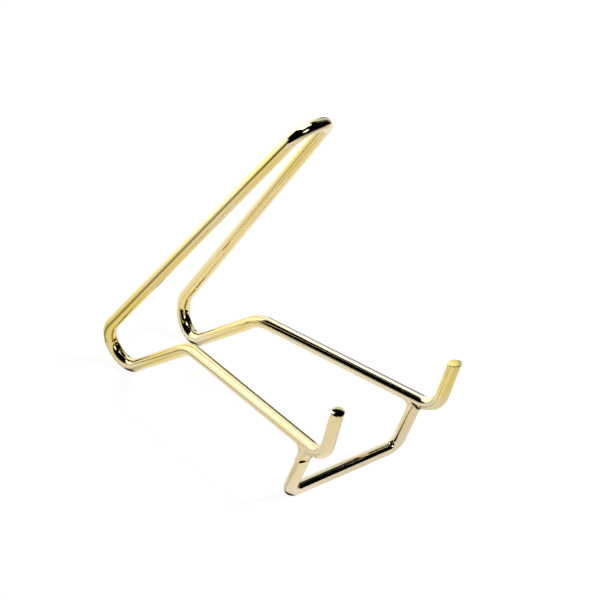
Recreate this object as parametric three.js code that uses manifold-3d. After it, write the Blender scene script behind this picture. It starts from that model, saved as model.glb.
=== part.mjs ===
// Photo album stand: a small easel bent from round, gold-plated wire.
//
// One long wire makes the hooks, the rails, the rear heels, the uprights and the loop at the
// top. A second, U-shaped wire is the front foot, and a weld joins each of its legs to a rail.
// An album stands on the rails behind the hooks and leans back on the top loop.
//
// Millimetres, +Z up. The stand faces -Y. The origin is on the table, under the middle of the
// stand. Heights and widths are those of the wire's centreline.

import * as THREE from 'three';
import { mergeVertices } from 'three/addons/utils/BufferGeometryUtils.js';
import Module from 'manifold-3d';

const wasm = await Module();
wasm.setup();

// Wire
const WIRE_DIAMETER = 5;
const SECTION_SIDES = 16;
const BEND_STEP = THREE.MathUtils.degToRad(12); // turn between two sections of a bend

// Rails and hooks. Depths are measured back from the corner between rail and hook.
const RAIL_HEIGHT = 30;
const RAIL_LENGTH = 97;
const RAIL_FRONT_HALF_WIDTH = 28;
const RAIL_REAR_HALF_WIDTH = 17.75;
const HOOK_REACH = 8.5;
const HOOK_RISE = 23.7;
const HOOK_BEND = 11.5;
const KINK_BEND = 18;

// Rear heels
const HEEL_DEPTH = 149.5;
const HEEL_BEND = 9.9;
const HEEL_LOW_HALF_WIDTH = 16.3;
const HEEL_HIGH_HALF_WIDTH = 19.4;

// Top loop
const TOP_DEPTH = 40;
const TOP_HEIGHT = 145.2;
const TOP_HALF_WIDTH = 7.5;
const TOP_BEND = 7.5;

// Front foot
const LEG_DEPTH = 10.25;
const BAR_DEPTH = 23.3;
const BAR_HALF_WIDTH = 27.4;
const FOOT_BEND = 5;

// Welds
const WELD_LENGTH = 8; // from the rail's centreline, down the leg
const WELD_TIP_THICKNESS = 0.3;
const WELD_ROOT_THICKNESS = 0.8;
const WELD_LEAN = THREE.MathUtils.degToRad(8); // towards the rear, where the bead is fuller
const WELD_SIDES = 24;
const WELD_ROWS = 4;
const JOINT_GAP = 0.3; // between a weld and its wires, and between a leg's end and its rail

const WIRE_RADIUS = WIRE_DIAMETER / 2;
const SAME_STATION = 0.05; // two stations closer than this are one
const UP = new THREE.Vector3(0, 0, 1);

// ---- Wire routes ----

// The stations of one round bend between two straight runs that would meet at a corner.
function bendStations(corner, wayIn, wayOut, radius) {
  const turn = wayIn.angleTo(wayOut);
  const axis = wayIn.clone().cross(wayOut).normalize();
  const inward = axis.cross(wayIn);
  const centre = corner
    .clone()
    .addScaledVector(wayIn, -radius * Math.tan(turn / 2))
    .addScaledVector(inward, radius);
  const steps = Math.ceil(turn / BEND_STEP);
  const stations = [];
  for (let k = 0; k <= steps; k += 1) {
    const along = Math.sin((turn * k) / steps);
    const across = Math.cos((turn * k) / steps);
    stations.push({
      point: centre
        .clone()
        .addScaledVector(wayIn, radius * along)
        .addScaledVector(inward, -radius * across),
      tangent: wayIn.clone().multiplyScalar(across).addScaledVector(inward, along),
    });
  }
  return stations;
}

// A route of straight runs and round bends through corners { at, bend }. A bend that has no
// room beside its neighbour is tightened to fit.
function bentRoute(corners) {
  const last = corners.length - 1;
  const runs = corners.slice(1).map((corner, i) => corner.at.clone().sub(corners[i].at));
  const ways = runs.map((run) => run.clone().normalize());
  const reaches = corners.map((corner, i) => {
    const isEnd = i === 0 || i === last;
    return isEnd ? 0 : corner.bend * Math.tan(ways[i - 1].angleTo(ways[i]) / 2);
  });
  const room = runs.map((run, i) => Math.min(1, run.length() / (reaches[i] + reaches[i + 1])));
  const stations = [{ point: corners[0].at, tangent: ways[0] }];
  for (let i = 1; i < last; i += 1) {
    const radius = corners[i].bend * Math.min(room[i - 1], room[i]);
    stations.push(...bendStations(corners[i].at, ways[i - 1], ways[i], radius));
  }
  stations.push({ point: corners[last].at, tangent: ways[last - 1] });
  return stations.filter(
    (station, i) => i === 0 || station.point.distanceTo(stations[i - 1].point) > SAME_STATION,
  );
}

// The direction of the section's first flat at each station: carried without twist from the
// middle of a symmetric route to both ends, then rolled so that it faces up at one station.
function flatDirections(tangents, levelStation) {
  const half = tangents.length / 2;
  const flats = [];
  const turn = new THREE.Quaternion();
  const carry = (from, to) => {
    turn.setFromUnitVectors(tangents[from], tangents[to]);
    flats[to] = flats[from].clone().applyQuaternion(turn);
  };
  flats[half] = UP.clone();
  for (let i = half; i < tangents.length - 1; i += 1) {
    carry(i, i + 1);
  }
  for (let i = half; i > 0; i -= 1) {
    carry(i, i - 1);
  }
  const level = UP.clone().projectOnPlane(tangents[levelStation]);
  const across = flats[levelStation].clone().cross(level);
  const roll = Math.atan2(across.dot(tangents[levelStation]), flats[levelStation].dot(level));
  return flats.map((flat, i) => flat.applyAxisAngle(tangents[i], roll));
}

// A wire's path, sampled at its own stations only, so that straight runs stay straight. The
// section's flats are level where the wire passes the level point.
class WirePath extends THREE.Curve {
  constructor(corners, levelPoint) {
    super();
    this.stations = bentRoute(corners);
    this.tangents = this.stations.map((station) => station.tangent);
    const distances = this.stations.map(({ point }) => point.distanceTo(levelPoint));
    this.flats = flatDirections(this.tangents, distances.indexOf(Math.min(...distances)));
  }

  getSpacedPoints() {
    return this.stations.map((station) => station.point);
  }

  computeFrenetFrames() {
    return {
      tangents: this.tangents,
      normals: this.flats,
      binormals: this.tangents.map((tangent, i) => tangent.clone().cross(this.flats[i])),
    };
  }
}

// ---- Solids ----

// A wire of the given radius along a path: a many-sided rod whose flats touch that radius.
function rod(path, radius) {
  const outline = [];
  for (let k = 0; k < SECTION_SIDES; k += 1) {
    const angle = ((k + 0.5) * 2 * Math.PI) / SECTION_SIDES;
    const corner = radius / Math.cos(Math.PI / SECTION_SIDES);
    outline.push(new THREE.Vector2(Math.cos(angle), Math.sin(angle)).multiplyScalar(corner));
  }
  return new THREE.ExtrudeGeometry(new THREE.Shape(outline), {
    steps: path.stations.length - 1,
    extrudePath: path,
    bevelEnabled: false,
  });
}

function toSolid(geometry) {
  const bare = geometry.clone();
  bare.deleteAttribute('normal');
  bare.deleteAttribute('uv');
  const merged = mergeVertices(bare);
  return new wasm.Manifold(
    new wasm.Mesh({
      numProp: 3,
      vertProperties: merged.attributes.position.array,
      triVerts: new Uint32Array(merged.index.array),
    }),
  );
}

function toGeometry(solid) {
  const mesh = solid.getMesh();
  const geometry = new THREE.BufferGeometry();
  geometry.setAttribute('position', new THREE.Float32BufferAttribute(mesh.vertProperties, 3));
  geometry.setIndex(Array.from(mesh.triVerts));
  geometry.computeVertexNormals();
  return geometry;
}

// A geometry with every one of the cutters taken away from it.
function cutAway(geometry, cutters) {
  const solid = cutters.reduce((rest, cutter) => rest.subtract(toSolid(cutter)), toSolid(geometry));
  return toGeometry(solid);
}

function goldPlate() {
  return new THREE.MeshStandardMaterial({ color: 0xd8bd74, roughness: 0.12, metalness: 1 });
}

function piece(name, geometry) {
  const mesh = new THREE.Mesh(geometry, goldPlate());
  mesh.name = name;
  return mesh;
}

// ---- Setting out ----

// Half the distance between the rails, and so between the hooks, at a given depth.
function railHalfWidth(depth) {
  const splay = (RAIL_FRONT_HALF_WIDTH - RAIL_REAR_HALF_WIDTH) / RAIL_LENGTH;
  return RAIL_FRONT_HALF_WIDTH - splay * depth;
}

function railPoint(depth) {
  return new THREE.Vector3(railHalfWidth(depth), depth, RAIL_HEIGHT);
}

// Seen from the side, the heel is one round bend that touches the table and the rearmost
// line. A run from the given point, tangent to that bend, meets the rearmost line at this
// height. The run passes below the bend where side is -1 and above it where side is 1.
function heelCornerHeight(from, side) {
  const back = HEEL_DEPTH - HEEL_BEND - from.y;
  const up = WIRE_RADIUS + HEEL_BEND - from.z;
  const slope = Math.atan2(up, back) + side * Math.asin(HEEL_BEND / Math.hypot(back, up));
  return from.z + (HEEL_DEPTH - from.y) * Math.tan(slope);
}

// The corners of a symmetric wire, from its left end to its right, given the right half.
function bothSides(rightHalf) {
  const leftHalf = rightHalf.map(({ at, bend }) => ({
    at: new THREE.Vector3(-at.x, at.y, at.z),
    bend,
  }));
  return [...leftHalf, ...rightHalf.reverse()];
}

function frameCorners() {
  const hookTip = new THREE.Vector3(
    railHalfWidth(-HOOK_REACH),
    -HOOK_REACH,
    RAIL_HEIGHT + HOOK_RISE,
  );
  const kink = railPoint(RAIL_LENGTH);
  const top = new THREE.Vector3(TOP_HALF_WIDTH, TOP_DEPTH, TOP_HEIGHT);
  const heelLow = new THREE.Vector3(
    HEEL_LOW_HALF_WIDTH,
    HEEL_DEPTH,
    heelCornerHeight(kink, -1),
  );
  const heelHigh = new THREE.Vector3(
    HEEL_HIGH_HALF_WIDTH,
    HEEL_DEPTH,
    heelCornerHeight(top, 1),
  );
  return bothSides([
    { at: hookTip },
    { at: railPoint(0), bend: HOOK_BEND },
    { at: kink, bend: KINK_BEND },
    { at: heelLow, bend: HEEL_BEND },
    { at: heelHigh, bend: HEEL_BEND },
    { at: top, bend: TOP_BEND },
  ]);
}

const barCorner = new THREE.Vector3(BAR_HALF_WIDTH, BAR_DEPTH, WIRE_RADIUS);

function footCorners() {
  return bothSides([{ at: railPoint(LEG_DEPTH) }, { at: barCorner, bend: FOOT_BEND }]);
}

// The bead round the top of a leg, on the left (side -1) or the right (side 1): a flared plug
// about a line through the joint. The wires are cut out of it later.
function weldPlug(side) {
  const profile = [new THREE.Vector2(0, 0)];
  for (let row = 0; row <= WELD_ROWS; row += 1) {
    const down = row / WELD_ROWS;
    const thickness = THREE.MathUtils.lerp(
      WELD_TIP_THICKNESS,
      WELD_ROOT_THICKNESS,
      (1 - down) ** 2,
    );
    profile.push(new THREE.Vector2(WIRE_RADIUS + JOINT_GAP + thickness, -down * WELD_LENGTH));
  }
  profile.push(new THREE.Vector2(0, -WELD_LENGTH));
  const plug = new THREE.LatheGeometry(profile.reverse(), WELD_SIDES);
  const mirror = new THREE.Vector3(side, 1, 1);
  const joint = railPoint(LEG_DEPTH).multiply(mirror);
  const legUp = joint.clone().sub(barCorner.clone().multiply(mirror)).normalize();
  const latheAxis = new THREE.Vector3(0, 1, 0);
  plug.applyQuaternion(new THREE.Quaternion().setFromUnitVectors(latheAxis, legUp));
  plug.rotateX(WELD_LEAN);
  plug.translate(joint.x, joint.y, joint.z);
  return plug;
}

// ---- Assembly ----

const framePath = new WirePath(frameCorners(), railPoint(RAIL_LENGTH / 2));
const barMiddle = new THREE.Vector3(0, BAR_DEPTH, WIRE_RADIUS);
const footPath = new WirePath(footCorners(), barMiddle);
const frameRoom = rod(framePath, WIRE_RADIUS + JOINT_GAP);
const footRoom = rod(footPath, WIRE_RADIUS + JOINT_GAP);

const frontFoot = new THREE.Group();
frontFoot.add(
  piece('front_foot_wire', cutAway(rod(footPath, WIRE_RADIUS), [frameRoom])),
  piece('left_weld', cutAway(weldPlug(-1), [frameRoom, footRoom])),
  piece('right_weld', cutAway(weldPlug(1), [frameRoom, footRoom])),
);

const stand = new THREE.Group();
stand.add(piece('frame_wire', rod(framePath, WIRE_RADIUS)), frontFoot);

const extent = new THREE.Box3().setFromObject(stand);
stand.position.y = -(extent.min.y + extent.max.y) / 2;

export default stand;
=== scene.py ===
"""Looks of the photo album stand: polished, gold-plated wire on a plain pale sheet.

One long wire makes the hooks, rails, heels, uprights and top loop. A second wire is the
U-shaped front foot, and a weld joins each of its legs to a rail. Every length is in metres,
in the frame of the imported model: +Z up, the hooks towards -Y, the table at Z = 0.
"""

import logging
import math
from dataclasses import dataclass
from enum import Enum
from typing import Sequence, Union

import bmesh
import bpy
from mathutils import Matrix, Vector

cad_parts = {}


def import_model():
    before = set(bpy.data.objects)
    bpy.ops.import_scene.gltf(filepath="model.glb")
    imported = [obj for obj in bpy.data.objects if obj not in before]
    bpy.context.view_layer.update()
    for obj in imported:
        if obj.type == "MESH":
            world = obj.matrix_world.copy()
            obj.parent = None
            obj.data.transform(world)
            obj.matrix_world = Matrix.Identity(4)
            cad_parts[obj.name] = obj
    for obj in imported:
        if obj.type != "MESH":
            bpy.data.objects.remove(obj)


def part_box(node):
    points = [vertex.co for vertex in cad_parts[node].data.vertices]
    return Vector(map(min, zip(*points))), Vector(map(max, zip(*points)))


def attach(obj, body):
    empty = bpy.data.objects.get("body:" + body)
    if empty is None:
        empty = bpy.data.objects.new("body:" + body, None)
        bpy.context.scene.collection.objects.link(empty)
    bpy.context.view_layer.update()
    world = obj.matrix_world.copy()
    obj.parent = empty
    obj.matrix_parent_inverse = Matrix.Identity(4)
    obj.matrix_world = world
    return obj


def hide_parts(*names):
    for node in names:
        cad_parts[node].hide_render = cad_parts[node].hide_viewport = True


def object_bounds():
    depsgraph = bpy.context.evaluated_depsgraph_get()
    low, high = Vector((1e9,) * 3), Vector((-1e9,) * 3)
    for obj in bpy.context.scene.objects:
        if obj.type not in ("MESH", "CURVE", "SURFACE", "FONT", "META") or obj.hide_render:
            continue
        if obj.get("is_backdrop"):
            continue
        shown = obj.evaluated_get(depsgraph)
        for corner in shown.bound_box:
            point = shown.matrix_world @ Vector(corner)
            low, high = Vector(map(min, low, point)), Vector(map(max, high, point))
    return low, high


LOG = logging.getLogger("album_stand")
BODY = "root"
MM = 0.001
UP = Vector((0.0, 0.0, 1.0))

Colour = tuple[float, float, float]
Span = tuple[float, float]
SocketInput = Union[bpy.types.NodeSocket, float, Sequence[float]]


class Slot(Enum):
    """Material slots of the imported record."""

    WIRE = "gold_plated_wire"
    WELD = "gold_plated_weld"


class Side(Enum):
    """The two mirrored halves of the stand."""

    LEFT = -1
    RIGHT = 1


# ---- Setting out ----


@dataclass(frozen=True)
class StandSizes:
    """Sizes of the stand's centrelines and of its wire."""

    wire_diameter: float = 5.3 * MM
    rail_height: float = 30 * MM
    rail_length: float = 97 * MM
    rail_front_half_width: float = 28 * MM
    rail_rear_half_width: float = 17.75 * MM
    hook_reach: float = 8.5 * MM
    hook_rise: float = 23.7 * MM
    hook_bend: float = 11.5 * MM
    kink_bend: float = 18 * MM
    heel_depth: float = 149.5 * MM
    heel_bend: float = 9.9 * MM
    heel_low_half_width: float = 16.3 * MM
    heel_high_half_width: float = 19.4 * MM
    top_depth: float = 40 * MM
    top_height: float = 145.2 * MM
    top_half_width: float = 7.5 * MM
    top_bend: float = 7.5 * MM
    leg_depth: float = 10.25 * MM
    bar_depth: float = 23.3 * MM
    bar_half_width: float = 27.4 * MM
    foot_bend: float = 5 * MM

    @property
    def wire_radius(self) -> float:
        """Half the wire's thickness."""
        return self.wire_diameter / 2


@dataclass(frozen=True)
class Corner:
    """A corner of a wire's route.

    "bend" is the radius of the bend that rounds it, and "press" tells how strongly the pin
    flattens the wire there, 0 to 1.
    """

    at: Vector
    bend: float = 0.0
    press: float = 0.0


class SettingOut:
    """Places the wires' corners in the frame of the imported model."""

    def __init__(self, sizes: StandSizes) -> None:
        """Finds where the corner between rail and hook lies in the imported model.

        Args:
            sizes: The stand's sizes, with depths measured back from that corner.
        """
        self.sizes = sizes
        low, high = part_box("frame_wire")
        tip = Vector((0.0, -sizes.hook_reach, sizes.hook_rise)).normalized()
        front = -sizes.hook_reach - sizes.wire_radius * tip.z
        rear = sizes.heel_depth + sizes.wire_radius
        self.corner_depth = (low.y + high.y) / 2 - (front + rear) / 2

    def place(self, half_width: float, depth: float, height: float) -> Vector:
        """A point of the right half, from its half width, depth and height."""
        return Vector((half_width, depth + self.corner_depth, height))

    def rail_half_width(self, depth: float) -> float:
        """Finds half the distance between the rails.

        Args:
            depth: Depth behind the corner between rail and hook.

        Returns:
            The half distance at that depth.
        """
        sizes = self.sizes
        splay = (sizes.rail_front_half_width - sizes.rail_rear_half_width) / sizes.rail_length
        return sizes.rail_front_half_width - splay * depth

    def rail_point(self, depth: float) -> Vector:
        """A point on the right rail's centreline at a given depth."""
        return self.place(self.rail_half_width(depth), depth, self.sizes.rail_height)

    def heel_corner_height(self, depth: float, height: float, side: int, bend: float) -> float:
        """Height at which a run that is tangent to the heel's bend meets the rearmost line.

        Args:
            depth: Depth of the point that the run starts from.
            height: Height of that point.
            side: -1 where the run passes below the bend and 1 where it passes above.
            bend: The bend's radius.

        Returns:
            The height of the corner on the rearmost line.
        """
        sizes = self.sizes
        back = sizes.heel_depth - bend - depth
        rise = sizes.wire_radius + bend - height
        slope = math.atan2(rise, back) + side * math.asin(bend / math.hypot(back, rise))
        return height + (sizes.heel_depth - depth) * math.tan(slope)

    def frame_corners(self) -> list[Corner]:
        """Lists the corners of the long wire.

        Returns:
            The corners from the left hook's tip to the right one's.
        """
        sizes = self.sizes
        tip_width = self.rail_half_width(-sizes.hook_reach)
        tip = self.place(tip_width, -sizes.hook_reach, sizes.rail_height + sizes.hook_rise)
        low = self.heel_corner_height(sizes.rail_length, sizes.rail_height, -1, sizes.heel_bend)
        high = self.heel_corner_height(sizes.top_depth, sizes.top_height, 1, sizes.heel_bend)
        heel_low = self.place(sizes.heel_low_half_width, sizes.heel_depth, low)
        heel_high = self.place(sizes.heel_high_half_width, sizes.heel_depth, high)
        top = self.place(sizes.top_half_width, sizes.top_depth, sizes.top_height)
        return self.both_sides([
            Corner(tip),
            Corner(self.rail_point(0.0), sizes.hook_bend),
            Corner(self.rail_point(sizes.rail_length), sizes.kink_bend),
            Corner(heel_low, sizes.heel_bend, press=1.0),
            Corner(heel_high, sizes.heel_bend, press=1.0),
            Corner(top, sizes.top_bend),
        ])

    def bar_corner(self) -> Vector:
        """The right corner between the front foot's leg and its crossbar."""
        sizes = self.sizes
        return self.place(sizes.bar_half_width, sizes.bar_depth, sizes.wire_radius)

    def foot_corners(self) -> list[Corner]:
        """Corners of the front foot's wire, from the left leg's top to the right one's."""
        leg_top = self.rail_point(self.sizes.leg_depth)
        return self.both_sides([Corner(leg_top), Corner(self.bar_corner(), self.sizes.foot_bend)])

    @staticmethod
    def both_sides(right_half: Sequence[Corner]) -> list[Corner]:
        """Mirrors the right half of a wire.

        Args:
            right_half: Corners from the wire's right end to its middle.

        Returns:
            The corners from the wire's left end to its right end.
        """
        mirror = Vector((-1.0, 1.0, 1.0))
        left_half = [Corner(corner.at * mirror, corner.bend, corner.press) for corner in right_half]
        return left_half + list(reversed(right_half))


# ---- Wires ----


Ring = list[bmesh.types.BMEdge]


def smooth_step(share: float) -> float:
    """Eases a share between 0 and 1 in and out."""
    return share * share * (3 - 2 * share)


def extrude_ring(mesh: bmesh.types.BMesh, ring: Ring) -> tuple[list[bmesh.types.BMVert], Ring]:
    """Extrudes a ring of edges.

    Args:
        mesh: The mesh that the ring belongs to.
        ring: The ring's edges.

    Returns:
        The vertices and the edges of the new ring, which still lies on the old one.
    """
    grown = bmesh.ops.extrude_edge_only(mesh, edges=ring)["geom"]
    verts = [item for item in grown if isinstance(item, bmesh.types.BMVert)]
    members = set(verts)
    edges = [
        item for item in grown
        if isinstance(item, bmesh.types.BMEdge) and members.issuperset(item.verts)
    ]
    return verts, edges


def grown_from(old: bmesh.types.BMVert, members: set[bmesh.types.BMVert]) -> bmesh.types.BMVert:
    """Finds the vertex of a new ring that an old vertex was extruded to."""
    return next(edge.other_vert(old) for edge in old.link_edges if edge.other_vert(old) in members)


def ring_and_middle(ring: Ring) -> tuple[list[bmesh.types.BMVert], Vector]:
    """Lists a ring's vertices, each of them once, and finds their middle."""
    verts = list(dict.fromkeys(vert for edge in ring for vert in edge.verts))
    return verts, sum((vert.co for vert in verts), Vector()) / len(verts)


class WireBender:
    """Feeds and bends a round wire, one run and one bend after another.

    Two attributes stay on the mesh. "unbent" is where a point would be if the wire were
    straight along Z, so that drawing marks follow the wire. "squeeze" is how strongly the
    metal is pressed together on the inner side of a bend. A straight run that is shorter than
    SKIPPED_RUN of the radius is left out.
    """

    SIDES = 64
    RUN_STEP = 5 * MM
    BEND_STEP = math.radians(2)
    EASE_ANGLE = math.radians(14)
    SIDE_BULGE = 0.03
    PIN_FLAT = 0.10
    CORNER_FILL = 0.26
    OUTER_FLAT = 0.03
    SKIPPED_RUN = 0.01
    RIM_STEPS = 5
    DOME_STEPS = 8
    CUT_ROUGHNESS = 1.0

    def __init__(self, start: Vector, way: Vector, radius: float) -> None:
        """Starts with a ring of the wire's outline.

        Args:
            start: Middle of the wire's first end.
            way: Unit direction in which the wire leaves that end.
            radius: The wire's radius.
        """
        self.mesh = bmesh.new()
        self.unbent = self.mesh.verts.layers.float_vector.new("unbent")
        self.squeeze = self.mesh.verts.layers.float.new("squeeze")
        self.at = start.copy()
        self.way = way.copy()
        self.start_way = way.copy()
        self.radius = radius
        self.fed = 0.0
        ring = bmesh.ops.create_circle(self.mesh, segments=self.SIDES, radius=radius)["verts"]
        for vert in ring:
            vert[self.unbent] = vert.co
        turn = UP.rotation_difference(way).to_matrix()
        bmesh.ops.transform(self.mesh, matrix=turn.to_4x4(), verts=ring)
        bmesh.ops.translate(self.mesh, vec=start, verts=ring)
        self.first = list(self.mesh.edges)
        self.last = list(self.mesh.edges)

    def feed(self, length: float) -> None:
        """Adds a straight run.

        Args:
            length: The run's length.
        """
        steps = max(1, round(length / self.RUN_STEP))
        for _ in range(steps):
            verts, self.last = extrude_ring(self.mesh, self.last)
            bmesh.ops.translate(self.mesh, vec=self.way * (length / steps), verts=verts)
            self.fed += length / steps
            for vert in verts:
                vert[self.unbent] = Vector((*vert[self.unbent].xy, self.fed))
                vert[self.squeeze] = 0.0
        self.at += self.way * length

    def bend(self, way_out: Vector, bend_radius: float, press: float) -> None:
        """Adds a round bend.

        Args:
            way_out: Unit direction in which the wire leaves the bend.
            bend_radius: Radius of the bend at the wire's centreline.
            press: How strongly the pin flattens the wire, 0 to 1.
        """
        turn = self.way.angle(way_out)
        axis = self.way.cross(way_out).normalized()
        inward = axis.cross(self.way)
        centre = self.at + inward * bend_radius
        known = set(self.mesh.verts)
        spun = bmesh.ops.spin(
            self.mesh,
            geom=self.last,
            cent=centre,
            axis=axis,
            dvec=(0.0, 0.0, 0.0),
            angle=turn,
            steps=math.ceil(turn / self.BEND_STEP),
            use_merge=False,
            use_normal_flip=False,
            use_duplicate=False,
        )["geom_last"]
        for vert in self.mesh.verts:
            if vert in known:
                continue
            arm = vert.co - centre
            angle = math.atan2(arm.dot(self.way), -arm.dot(inward))
            depth = bend_radius - math.hypot(arm.dot(self.way), arm.dot(inward))
            vert[self.unbent] = Vector((*vert[self.unbent].xy, self.fed + angle * bend_radius))
            vert[self.squeeze] = max(0.0, depth / bend_radius) * math.sin(math.pi * angle / turn)
            middle = centre + (self.way * math.sin(angle) - inward * math.cos(angle)) * bend_radius
            ease = max(0.0, min(1.0, angle / self.EASE_ANGLE, (turn - angle) / self.EASE_ANGLE))
            eased = press * smooth_step(ease)
            vert.co = self.pressed(vert.co, middle, (middle - centre).normalized(), axis, eased)
        self.last = [item for item in spun if isinstance(item, bmesh.types.BMEdge)]
        self.fed += turn * bend_radius
        self.at = centre + (self.way * math.sin(turn) - inward * math.cos(turn)) * bend_radius
        self.way = way_out.copy()

    def pressed(self, co: Vector, middle: Vector, outward: Vector, axis: Vector, press: float) -> Vector:
        """Where a point of the section lies once the wire is pressed against the bending pin.

        Args:
            co: The point on the round section.
            middle: The section's middle.
            outward: Unit direction away from the pin.
            axis: Unit direction along the pin.
            press: How strongly the section is pressed, 0 to 1.

        Returns:
            The point: flatter on the pin, fuller at its corners and a little flatter outside.
        """
        across = (co - middle).dot(axis) / self.radius
        out = (co - middle).dot(outward) / self.radius
        crown = 1 - across * across
        if out < 0.0:
            out *= (1 + self.CORNER_FILL * press) * (1 - self.PIN_FLAT * press * crown)
        else:
            out *= 1 - self.OUTER_FLAT * press * crown
        out += self.OUTER_FLAT * press
        across *= 1 + self.SIDE_BULGE * press
        return middle + (outward * out + axis * across) * self.radius

    def follow(self, corners: Sequence[Corner]) -> None:
        """Runs the wire through all corners. A bend without room beside its neighbour is tightened.

        Args:
            corners: The corners from the wire's first end to its last.
        """
        points = [corner.at for corner in corners]
        lengths = [(b - a).length for a, b in zip(points, points[1:])]
        ways = [(b - a).normalized() for a, b in zip(points, points[1:])]
        tangents = [math.tan(a.angle(b) / 2) for a, b in zip(ways, ways[1:])]
        reaches = [0.0, *(c.bend * t for c, t in zip(corners[1:], tangents)), 0.0]
        room = [min(1.0, n / (a + b)) for n, a, b in zip(lengths, reaches, reaches[1:])]
        shares = [1.0, *(min(a, b) for a, b in zip(room, room[1:])), 1.0]
        taken = [reach * share for reach, share in zip(reaches, shares)]
        for index, length in enumerate(lengths):
            straight = length - taken[index] - taken[index + 1]
            if straight > self.radius * self.SKIPPED_RUN:
                self.feed(straight)
            if index + 1 < len(lengths):
                corner = corners[index + 1]
                self.bend(ways[index + 1], corner.bend * shares[index + 1], corner.press)

    def tilt_ends(self, first: Vector, last: Vector) -> None:
        """Tilts the cut at both ends.

        Args:
            first: How far the first end's cut leans back along the wire per metre of offset.
            last: The same at the last end.
        """
        for edges, lean, way in ((self.first, first, self.start_way), (self.last, last, -self.way)):
            verts, middle = ring_and_middle(edges)
            for vert in verts:
                vert.co += way * (vert.co - middle).dot(lean)

    def close(self, edge_round: float, dome: float) -> None:
        """Closes both ends with a rounded rim and a slightly domed face.

        Args:
            edge_round: Radius of the rounded rim.
            dome: How far the face's middle stands proud of its rim.
        """
        for rim, way in ((self.first, -self.start_way), (self.last, self.way)):
            verts, middle = ring_and_middle(rim)
            flat = 1.0 - edge_round / self.radius
            rings = []
            for step in range(1, self.RIM_STEPS + 1):
                turn = math.pi / 2 * step / self.RIM_STEPS
                rings.append((flat + (1 - flat) * math.cos(turn), edge_round * math.sin(turn)))
            for step in range(1, self.DOME_STEPS):
                share = 1 - step / self.DOME_STEPS
                rings.append((flat * share, edge_round + dome * (1 - share * share)))
            starts = {vert: (vert.co.copy(), vert[self.unbent].copy()) for vert in verts}
            edges = rim
            for scale, proud in rings:
                grown, edges = extrude_ring(self.mesh, edges)
                members = set(grown)
                moved = {}
                for old, (co, unbent) in starts.items():
                    new = grown_from(old, members)
                    new.co = middle + (co - middle) * scale + way * proud
                    new[self.unbent] = Vector((unbent.x * scale, unbent.y * scale, unbent.z + proud))
                    new[self.squeeze] = self.CUT_ROUGHNESS if scale <= flat else 0.0
                    moved[new] = (co, unbent)
                starts = moved
            bmesh.ops.contextual_create(self.mesh, geom=edges)
        bmesh.ops.recalc_face_normals(self.mesh, faces=self.mesh.faces)


def make_piece(name: str, mesh: bmesh.types.BMesh, material: bpy.types.Material) -> bpy.types.Object:
    """Turns a finished bmesh into a smooth, dressed object at the origin.

    Args:
        name: The piece's name.
        mesh: The finished shape, which is freed.
        material: The piece's material.

    Returns:
        The new object.
    """
    data = bpy.data.meshes.new(name)
    mesh.to_mesh(data)
    mesh.free()
    data.materials.append(material)
    data.shade_smooth()
    piece = bpy.data.objects.new(name, data)
    bpy.context.scene.collection.objects.link(piece)
    return piece


def fit_piece(piece: bpy.types.Object, node: str) -> None:
    """Lets a piece ride on the stand and stand for its CAD node.

    Args:
        piece: The finished piece.
        node: The CAD node that it replaces.
    """
    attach(piece, BODY)
    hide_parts(node)
    LOG.info("%s: %d faces, stands for %s", piece.name, len(piece.data.polygons), node)


@dataclass
class BentWire:
    """One of the stand's two wires.

    A positive setback shortens the wire at that end, and a negative one lengthens it. The cuts
    have a rounded rim and a dome, and each is tilted by its lean along the wire.
    """

    name: str
    node: str
    corners: list[Corner]
    radius: float
    edge_round: float = 0.35 * MM
    end_setbacks: tuple[float, float] = (0.0, 0.0)
    cut_tilts: tuple[Vector, Vector] = (Vector(), Vector())
    dome: float = 0.0

    def build(self, material: bpy.types.Material) -> bpy.types.Object:
        """Bends the wire along its corners.

        Args:
            material: The plating.

        Returns:
            The finished piece.
        """
        corners = list(self.corners)
        for end, neighbour, setback in ((0, 1, self.end_setbacks[0]), (-1, -2, self.end_setbacks[1])):
            back = (corners[neighbour].at - corners[end].at).normalized()
            corners[end] = Corner(corners[end].at + back * (setback + self.edge_round))
        way = (corners[1].at - corners[0].at).normalized()
        bender = WireBender(corners[0].at, way, self.radius)
        bender.follow(corners)
        bender.tilt_ends(*self.cut_tilts)
        bender.close(self.edge_round, self.dome)
        piece = make_piece(self.name, bender.mesh, material)
        fit_piece(piece, self.node)
        return piece


# ---- Welds ----


@dataclass(frozen=True)
class PaintedDarkSpot:
    """A painted dark spot on a weld: painted shadow under its lip and painted dark reflection.

    "angle" is measured about the leg from the rear, and "share" runs from 0 at the weld's lip
    on the leg to 1 at its edge on the rail.
    """

    angle: float
    share: float
    half_angle: float
    half_share: float

    def cover(self, angle: float, share: float) -> float:
        """Finds how much of the painted dark spot lies at a point of the weld.

        Args:
            angle: The point's angle about the leg.
            share: The point's share of the way from the lip to the edge on the rail.

        Returns:
            0 outside the spot, and up to 1 in its middle.
        """
        turn = math.remainder(angle - self.angle, 2 * math.pi) / self.half_angle
        rise = (share - self.share) / self.half_share
        return max(0.0, 1.0 - turn * turn - rise * rise)


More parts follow.
